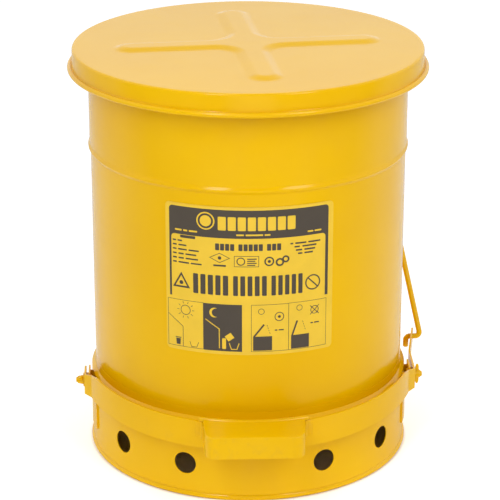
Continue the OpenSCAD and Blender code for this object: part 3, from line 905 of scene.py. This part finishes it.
def recalculate_open(obj):
    """Points the faces of the pedal's open sheet away from its hollow."""
    work = bmesh.new()
    work.from_mesh(obj.data)
    bmesh.ops.recalc_face_normals(work, faces=work.faces)
    widest = max(work.faces, key=lambda face: face.calc_area())
    if widest.normal.z < 0:
        bmesh.ops.reverse_faces(work, faces=work.faces)
    work.to_mesh(obj.data)
    work.free()


# ---- lift rod ----


class WASTECAN_OT_rod(bpy.types.Operator):
    """Bend the lift rod, and finish its washers and push nut"""

    bl_idname = "wastecan.rod"
    bl_label = "Lift Rod"

    def execute(self, context):
        size = context.scene.wastecan_hardware
        outer_x = high("lift_rod").x - size.rod_radius
        corners = [Vector((ROD_LEG_X, ROD_HOLE.y, ROD_HOLE.z - ROD_LEG_LENGTH)),
                   Vector((ROD_LEG_X, ROD_HOLE.y, ROD_HOLE.z)), Vector((outer_x, ROD_HOLE.y, ROD_HOLE.z)),
                   ROD_TOP, Vector((ROD_END_X, ROD_TOP.y, ROD_TOP.z))]
        bends = [0, size.hook_bend, size.hook_bend, size.top_bend, 0]
        route = [corners[0]]
        for i in range(1, len(corners) - 1):
            route += bend_points(corners[i - 1], corners[i], corners[i + 1], bends[i])
        route.append(corners[-1])
        rod = piece("lift_rod_wire", *tube(route, size.rod_radius, 28, 0.5 * MM),
                    material_for("bracket_paint"), "rod", PAINT_SLOT, 50)
        recalculated(rod)
        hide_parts("lift_rod")
        for node in ("rod_washers", "rod_push_nut"):
            round_edges(dress(node, material_for("zinc")), size.edge, 2)
        return {"FINISHED"}


def bend_points(before, corner, after, radius, steps=14):
    """Points round a bend of that centreline radius."""
    back, ahead = (before - corner).normalized(), (after - corner).normalized()
    opening = back.angle(ahead)
    reach = radius / math.tan(opening / 2)
    middle = corner + (back + ahead).normalized() * (radius / math.sin(opening / 2))
    start = corner + back * reach - middle
    end = corner + ahead * reach - middle
    turn = start.angle(end)
    points = []
    for i in range(steps + 1):
        t = i / steps
        points.append(middle + (start * math.sin((1 - t) * turn) + end * math.sin(t * turn)) / math.sin(turn))
    return points


# ---- label ----


class LabelSheet:
    """Collects flat shapes, in millimetres round and up from the label's lower edge, and wraps them on the drum."""

    def __init__(self):
        self.work = bmesh.new()

    def area(self, points):
        """A filled outline."""
        self.work.faces.new([self.work.verts.new((u, v, 0)) for u, v in points])

    def band(self, outer, inner):
        """The strip between two closed outlines with as many points."""
        outer = [self.work.verts.new((u, v, 0)) for u, v in outer]
        inner = [self.work.verts.new((u, v, 0)) for u, v in inner]
        for i in range(len(outer)):
            j = (i + 1) % len(outer)
            self.work.faces.new((outer[i], outer[j], inner[j], inner[i]))

    def box(self, u0, v0, u1, v1, r=0.0):
        """A filled box with rounded corners."""
        self.area(rounded_box(u0, v0, u1, v1, r) if r else [(u0, v0), (u1, v0), (u1, v1), (u0, v1)])

    def frame(self, u0, v0, u1, v1, line=0.45):
        """A box drawn as a line."""
        self.band([(u0, v0), (u1, v0), (u1, v1), (u0, v1)],
                  [(u0 + line, v0 + line), (u1 - line, v0 + line), (u1 - line, v1 - line), (u0 + line, v1 - line)])

    def disc(self, u, v, r, sides=40):
        """A filled disc."""
        self.area([(u + r * math.cos(a), v + r * math.sin(a)) for a in turns(sides)])

    def ring(self, u, v, r, line, sides=48):
        """A circle drawn as a line."""
        self.band([(u + r * math.cos(a), v + r * math.sin(a)) for a in turns(sides)],
                  [(u + (r - line) * math.cos(a), v + (r - line) * math.sin(a)) for a in turns(sides)])

    def line(self, u0, v0, u1, v1, width):
        """A straight line with square ends."""
        way = Vector((u1 - u0, v1 - v0)).normalized() * (width / 2)
        side = (-way.y, way.x)
        self.area([(u0 + side[0], v0 + side[1]), (u0 - side[0], v0 - side[1]),
                   (u1 - side[0], v1 - side[1]), (u1 + side[0], v1 + side[1])])

    def words(self, u0, v0, u1, v1, widths, gap):
        """A row of plain bars that stands for a line of small print."""
        total = sum(widths) + gap * (len(widths) - 1)
        scale = (u1 - u0) / total
        u = u0
        for width in widths:
            self.box(u, v0, u + width * scale, v1, min(v1 - v0, width * scale) * 0.3)
            u += (width + gap) * scale

    def wrapped(self, name, material, height, thickness):
        """Cuts the shapes into narrow strips, wraps them round the drum and gives them their thickness."""
        sheet = bpy.context.scene.wastecan_label
        work = self.work
        facet = sheet.facet / MM
        last = int(sheet.width / MM / 2 / facet) + 1
        for k in range(-last, last + 1):
            bmesh.ops.bisect_plane(work, geom=work.verts[:] + work.edges[:] + work.faces[:], dist=1e-5,
                                   plane_co=(k * facet, 0, 0), plane_no=(1, 0, 0))
        bmesh.ops.remove_doubles(work, verts=work.verts, dist=1e-4)
        r = label_radius() + height
        base = low("front_label").z
        for vert in work.verts:
            a = vert.co.x * MM / label_radius() + sheet.turn
            vert.co = Vector((r * math.sin(a), -r * math.cos(a), base + vert.co.y * MM))
        for face in work.faces:
            face.normal_update()
            if face.normal.dot(Vector((face.calc_center_median().x, face.calc_center_median().y, 0))) < 0:
                face.normal_flip()
        mesh = bpy.data.meshes.new(name)
        work.to_mesh(mesh)
        work.free()
        made = finished(name, mesh, material, "can", LABEL_SLOT, 50)
        skin = made.modifiers.new("film", "SOLIDIFY")
        skin.thickness = thickness
        skin.offset = -1
        made.modifiers.new("even shading", "WEIGHTED_NORMAL")
        return made


def turns(sides):
    """Evenly spaced angles once round."""
    return [2 * math.pi * i / sides for i in range(sides)]


def rounded_box(u0, v0, u1, v1, r, steps=6):
    """Outline of a box with rounded corners."""
    points = []
    for cu, cv, start in ((u1 - r, v0 + r, -90), (u1 - r, v1 - r, 0), (u0 + r, v1 - r, 90),
                          (u0 + r, v0 + r, 180)):
        points += arc((cu, cv), r, start, start + 90, steps)
    return points


def label_radius():
    """Outer radius of the bare wall under the label."""
    return bpy.context.scene.wastecan_drum.wall_radius


class WASTECAN_OT_label(bpy.types.Operator):
    """Lay the vinyl label on the drum and print its plain shapes"""

    bl_idname = "wastecan.label"
    bl_label = "Label"

    def execute(self, context):
        size = context.scene.wastecan_label
        half, tall = size.width / MM / 2, (high("front_label").z - low("front_label").z) / MM
        face = LabelSheet()
        face.box(-half, 0, half, tall, size.corner / MM)
        vinyl = face.wrapped("label_vinyl", material_for("label_vinyl"), FILM_THICKNESS, FILM_THICKNESS)
        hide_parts("front_label")

        ink, light = LabelSheet(), LabelSheet()
        self.header(ink, light)
        self.middle(ink)
        self.pictures(ink, light)
        ink.wrapped("label_print_dark", material_for("label_ink"), FILM_THICKNESS + size.ink_height,
                    size.ink_height)
        light.wrapped("label_print_light", material_for("label_vinyl"), FILM_THICKNESS + 2 * size.ink_height,
                      size.ink_height)
        return {"FINISHED"}

    def header(self, ink, light):
        """The dark band across the top, its side bars, and the plain light shapes on it."""
        left, right, top, split, foot = -88.4, 87.1, 164.5, 133.0, 62.0
        inner_left, inner_right, r = -86.0, 83.6, 4.0
        # Split into simple areas so that each one fills cleanly.
        ink.area([(left, split), (right, split)] + arc((right - r, top - r), r, 0, 90, 6)
                 + arc((left + r, top - r), r, 90, 180, 6))
        ink.box(left, foot, inner_left, split)
        ink.box(inner_right, foot, right, split)
        ink.area([(inner_left, split)] + list(reversed(arc((inner_left + r, split - r), r, 180, 90, 6))))
        ink.area([(inner_right, split)] + list(reversed(arc((inner_right - r, split - r), r, 90, 0, 6))))
        light.ring(-46.9, 151.3, 9.9, 1.5)
        light.disc(-46.9, 151.3, 6.2)
        for k in range(8):
            u = -33.5 + k * 10.55
            light.box(u, 141.8, u + 8.6, 157.0, 1.2)
        light.words(-81.5, 137.0, -56.0, 138.9, (5, 3, 6), 1.2)
        light.words(62.6, 136.4, 78.5, 138.2, (4, 5), 1.0)
        light.words(-14.0, 136.2, 22.0, 138.0, (4, 9, 3), 0.8)

    def middle(self, ink):
        """Small print, marks and the row of large blocks, all as plain shapes."""
        ink.words(-75.5, 129.3, -58.2, 132.4, (5,), 1.0)
        for k, (width, shares) in enumerate(((11, (3, 4)), (16, (3, 6)), (30, (3, 7, 8)), (27, (3, 4, 8)),
                                             (29, (3, 4, 9)), (33, (3, 8, 8)))):
            ink.words(-84.3, 125.0 - 4.9 * k, -84.3 + width, 126.7 - 4.9 * k, shares, 1.3)
        for k, (width, shares) in enumerate(((34, (2, 8, 9)), (25, (3, 8)), (22, (4, 7)), (17, (3, 6)))):
            v = 124.6 - 3.9 * k
            ink.words(60.5 - width / 2, v, 60.5 + width / 2, v + 1.8, shares, 1.4)
        u = -36.5
        for group in (4, 5, 3):
            for _ in range(group):
                ink.box(u, 119.3, u + 4.3, 126.9, 0.8)
                u += 5.35
            u += 3.4
        # A diamond, a framed box and a round mark, each empty of any sign.
        ink.band([(-31.8 - 11.3, 110.7), (-31.8, 105.0), (-31.8 + 11.3, 110.7), (-31.8, 116.4)],
                 [(-31.8 - 9.9, 110.7), (-31.8, 105.75), (-31.8 + 9.9, 110.7), (-31.8, 115.65)])
        ink.disc(-31.8, 110.7, 1.9)
        ink.words(-38.5, 101.0, -25.0, 103.0, (5,), 1)
        ink.frame(-16.4, 101.2, 10.0, 113.6, 0.55)
        ink.ring(-9.2, 107.4, 4.6, 1.1)
        for k in range(4):
            ink.box(-2.6, 109.6 - 2.3 * k, 7.6 - 1.5 * (k % 2), 110.8 - 2.3 * k, 0.4)
        ink.ring(20.9, 107.2, 5.3, 1.6)
        ink.disc(20.9, 107.2, 1.7)
        ink.ring(32.2, 105.8, 4.6, 2.0)
        ink.ring(38.6, 108.9, 4.0, 1.9)
        # The row of large blocks.
        for start, end, blocks in ((-61.0, -22.7, 5), (-17.4, 18.3, 5), (23.3, 57.4, 5)):
            pitch = (end - start + 2.6) / blocks
            for k in range(blocks):
                u = start + k * pitch
                ink.box(u, 68.2, u + pitch - 2.6, 90.8, 1.0)
        tri_out = [(-84.6, 72.6), (-64.6, 72.6), (-74.6, 90.3)]
        tri_in = [(-81.4, 74.6), (-67.8, 74.6), (-74.6, 86.6)]
        ink.band(tri_out, tri_in)
        ink.disc(-74.6, 78.4, 2.2)
        ink.ring(69.2, 79.0, 8.8, 1.5)
        ink.line(63.6, 84.6, 74.8, 73.4, 1.4)

    def pictures(self, ink, light):
        """Four boxes along the bottom: day and night outside a shed, and a bin with its lid open twice."""
        ink.frame(-91.0, 4.0, -49.7, 58.3)
        ink.box(-49.7, 3.8, -8.0, 58.0)
        ink.frame(1.7, 3.8, 42.4, 58.0)
        ink.frame(42.0, 3.8, 85.6, 58.3)
        # Day.
        ink.ring(-70.0, 47.2, 5.7, 0.7)
        for a in turns(10):
            ink.line(-70.0 + 7.4 * math.cos(a), 47.2 + 7.4 * math.sin(a),
                     -70.0 + 10.0 * math.cos(a), 47.2 + 10.0 * math.sin(a), 0.55)
        ink.area([(-81.0, 6.0), (-76.6, 6.0), (-76.0, 13.0), (-81.6, 13.0)])
        for stroke in ((-90.6, 40.6, -73.0, 27.6, 0.6), (-73.2, 27.8, -73.2, 4.2, 0.6),
                       (-82.2, 14.2, -75.4, 14.2, 1.0), (-65.4, 11.4, -63.6, 5.6, 0.6),
                       (-63.8, 5.6, -57.2, 5.6, 0.6), (-57.4, 5.6, -55.4, 11.4, 0.6)):
            ink.line(*stroke)
        # Night.
        moon = [(-37.6 + 5.6 * math.cos(a), 47.9 + 5.6 * math.sin(a))
                for a in [math.radians(60 + 240 * i / 20) for i in range(21)]]
        bite = [(-35.6 + 4.9 * math.cos(a), 47.9 + 4.9 * math.sin(a))
                for a in [math.radians(83 + 194 * i / 20) for i in range(21)]]
        for i in range(20):
            light.area([moon[i], moon[i + 1], bite[i + 1], bite[i]])
        light.area([(-26.6, 21.0), (-20.4, 25.6), (-16.2, 20.0), (-22.4, 15.4)])
        for stroke in ((-47.6, 39.8, -32.0, 29.0, 1.0), (-32.4, 29.2, -32.4, 7.0, 1.0),
                       (-21.8, 13.6, -19.4, 6.4, 0.9), (-19.6, 6.4, -13.2, 6.4, 0.9),
                       (-13.4, 6.4, -11.2, 13.6, 0.9)):
            light.line(*stroke)
        light.box(-29.4, 6.4, -25.2, 19.0, 1.2)
        # The bin with its lid half open, then too far open.
        ink.box(3.8, 5.0, 24.2, 21.4)
        ink.line(4.6, 21.0, 15.6, 35.2, 1.9)
        ink.box(45.0, 4.8, 65.4, 20.6)
        ink.line(46.0, 20.0, 51.8, 37.0, 1.9)
        for u, v in ((20.6, 29.6), (59.6, 31.0)):
            for k in range(4):
                ink.line(u + 0.9 * k - 2.0, v + 5.0 - 2.9 * k, u + 0.9 * k - 1.2, v + 3.4 - 2.9 * k, 0.5)
        ink.ring(12.6, 50.2, 3.4, 0.6)
        ink.ring(54.2, 51.6, 3.4, 0.6)
        ink.ring(32.0, 43.6, 5.2, 0.9)
        ink.disc(32.0, 43.6, 1.6)
        ink.ring(71.6, 47.0, 4.8, 0.8)
        ink.line(66.4, 41.8, 76.8, 52.2, 0.8)
        ink.line(66.4, 52.2, 76.8, 41.8, 0.8)
        ink.words(27.0, 27.4, 37.0, 28.8, (2, 4), 1.0)
        ink.words(67.0, 31.4, 77.0, 32.8, (2, 4), 1.0)


# ---- stage ----


class WASTECAN_OT_stage(bpy.types.Operator):
    """Set up the floor, the soft studio light and the camera"""

    bl_idname = "wastecan.stage"
    bl_label = "Stage"

    def execute(self, context):
        size = context.scene.wastecan_stage
        self.floor(size)
        self.surroundings(context.scene, size)
        for name, azimuth, elevation, power, width in LAMPS:
            self.panel(name, math.radians(azimuth), math.radians(elevation), power, width)
        data = bpy.data.cameras.new("camera")
        data.sensor_width = 36
        data.lens = size.lens
        data.shift_x, data.shift_y = size.shift_x, size.shift_y
        data.clip_start, data.clip_end = 0.05, 60
        camera = bpy.data.objects.new("camera", data)
        context.scene.collection.objects.link(camera)
        aim_from(camera, size.azimuth, size.elevation, size.distance, Vector((0, 0, size.target)))
        context.scene.camera = camera
        context.scene.view_settings.view_transform = "Standard"
        return {"FINISHED"}

    def floor(self, size):
        half = size.floor_size / 2
        mesh = bpy.data.meshes.new("floor")
        corners = [(-half, -half, 0), (half, -half, 0), (half, half, 0), (-half, half, 0)]
        mesh.from_pydata(corners, [], [(0, 1, 2, 3)])
        floor = bpy.data.objects.new("floor", mesh)
        bpy.context.scene.collection.objects.link(floor)
        material, nodes, links, shader, place = new_material("studio_floor")
        # Painted reflection: reflections in the can see the floor ahead of it darkened towards the dark floor
        # colour, while the camera and diffuse light see the floor evenly pale.
        parts = nodes.new("ShaderNodeSeparateXYZ")
        links.new(place, parts.inputs["Vector"])
        shade = spread(nodes, links, parts.outputs["Y"], -0.45, 0.15, 0.0, 1.0)
        shade = blend_colours(nodes, links, shade, size.floor_ahead_reflection_shade, size.floor_colour)
        rays = nodes.new("ShaderNodeLightPath")
        links.new(blend_colours(nodes, links, rays.outputs["Is Glossy Ray"], size.floor_colour, shade),
                  shader.inputs["Base Color"])
        shader.inputs["Roughness"].default_value = 0.9
        shader.inputs["Specular IOR Level"].default_value = 0.0
        shader.inputs["Emission Color"].default_value = (1, 1, 1, 1)
        distance = nodes.new("ShaderNodeVectorMath")
        distance.operation = "LENGTH"
        links.new(place, distance.inputs[0])
        glow = spread(nodes, links, distance.outputs["Value"], size.foot_radius, size.foot_radius + 4 * MM, 0.0,
                      size.floor_glow)
        near = spread(nodes, links, distance.outputs["Value"], size.foot_radius,
                      size.foot_radius + size.bounce_reach, size.bounce, 0.0)
        thrown = calculated(nodes, links, "MULTIPLY_ADD", rays.outputs["Is Diffuse Ray"], near,
                      rays.outputs["Is Camera Ray"])
        links.new(calculated(nodes, links, "MULTIPLY", glow, thrown), shader.inputs["Emission Strength"])
        mesh.materials.append(material)

    def surroundings(self, scene, size):
        """A bright sweep behind and beside the can, dimmer overhead and behind the camera."""
        world = bpy.data.worlds.new("studio")
        world.use_nodes = True
        scene.world = world
        nodes, links = world.node_tree.nodes, world.node_tree.links
        where = nodes.new("ShaderNodeTexCoord")
        parts = nodes.new("ShaderNodeSeparateXYZ")
        links.new(where.outputs["Generated"], parts.inputs["Vector"])
        depth = spread(nodes, links, parts.outputs["Y"], -0.75, 0.2, size.surround_front, size.surround)
        overhead = spread(nodes, links, parts.outputs["Z"], 0.5, 0.95, 1.0, size.overhead)
        links.new(calculated(nodes, links, "MULTIPLY", depth, overhead), nodes["Background"].inputs["Strength"])
        nodes["Background"].inputs["Color"].default_value = (1, 1, 1, 1)

    def panel(self, name, azimuth, elevation, power, width):
        data = bpy.data.lights.new(name, "AREA")
        data.shape = "RECTANGLE"
        data.size, data.size_y = width, PANEL_HEIGHT
        data.energy = power
        light = bpy.data.objects.new(name, data)
        bpy.context.scene.collection.objects.link(light)
        aim_from(light, azimuth, elevation, PANEL_DISTANCE, PANEL_TARGET)


def aim_from(obj, azimuth, elevation, distance, target):
    """Places an object on a sphere round a target and turns it to look there. Azimuth 0 is the front."""
    back = Vector((math.sin(azimuth) * math.cos(elevation), -math.cos(azimuth) * math.cos(elevation),
                   math.sin(elevation)))
    obj.location = target + back * distance
    obj.rotation_euler = back.to_track_quat("Z", "Y").to_euler()


# ---- panel and main ----


class WASTECAN_PT_pieces(bpy.types.Panel):
    """Lists the operators that build the can"""

    bl_idname = "WASTECAN_PT_pieces"
    bl_label = "Oily Waste Can"
    bl_space_type = "VIEW_3D"
    bl_region_type = "UI"
    bl_category = "Waste Can"

    def draw(self, context):
        for operator in PIECES:
            self.layout.operator(operator.bl_idname)
        for name, _ in SETTINGS:
            group = getattr(context.scene, name)
            box = self.layout.box()
            box.label(text=name.replace("wastecan_", "").capitalize())
            for key in group.__annotations__:
                box.prop(group, key)


PIECES = (WASTECAN_OT_stage, WASTECAN_OT_drum, WASTECAN_OT_base, WASTECAN_OT_lid, WASTECAN_OT_hinge,
          WASTECAN_OT_pivots, WASTECAN_OT_strap, WASTECAN_OT_pedal, WASTECAN_OT_rod, WASTECAN_OT_label)
SETTINGS = (("wastecan_finish", WastecanFinish), ("wastecan_drum", WastecanDrum), ("wastecan_lid", WastecanLid),
            ("wastecan_lever", WastecanLever), ("wastecan_pedal", WastecanPedal),
            ("wastecan_hardware", WastecanHardware), ("wastecan_label", WastecanLabel),
            ("wastecan_stage", WastecanStage))
CLASSES = tuple(group for _, group in SETTINGS) + PIECES + (WASTECAN_PT_pieces,)


def register():
    for cls in CLASSES:
        bpy.utils.register_class(cls)
    for name, group in SETTINGS:
        setattr(bpy.types.Scene, name, PointerProperty(type=group))


def unregister():
    for name, _ in SETTINGS:
        delattr(bpy.types.Scene, name)
    for cls in reversed(CLASSES):
        bpy.utils.unregister_class(cls)


def main():
    register()
    for operator in PIECES:
        family, name = operator.bl_idname.split(".")
        getattr(getattr(bpy.ops, family), name)()
    bpy.context.view_layer.update()


if __name__ == "__main__":
    main()
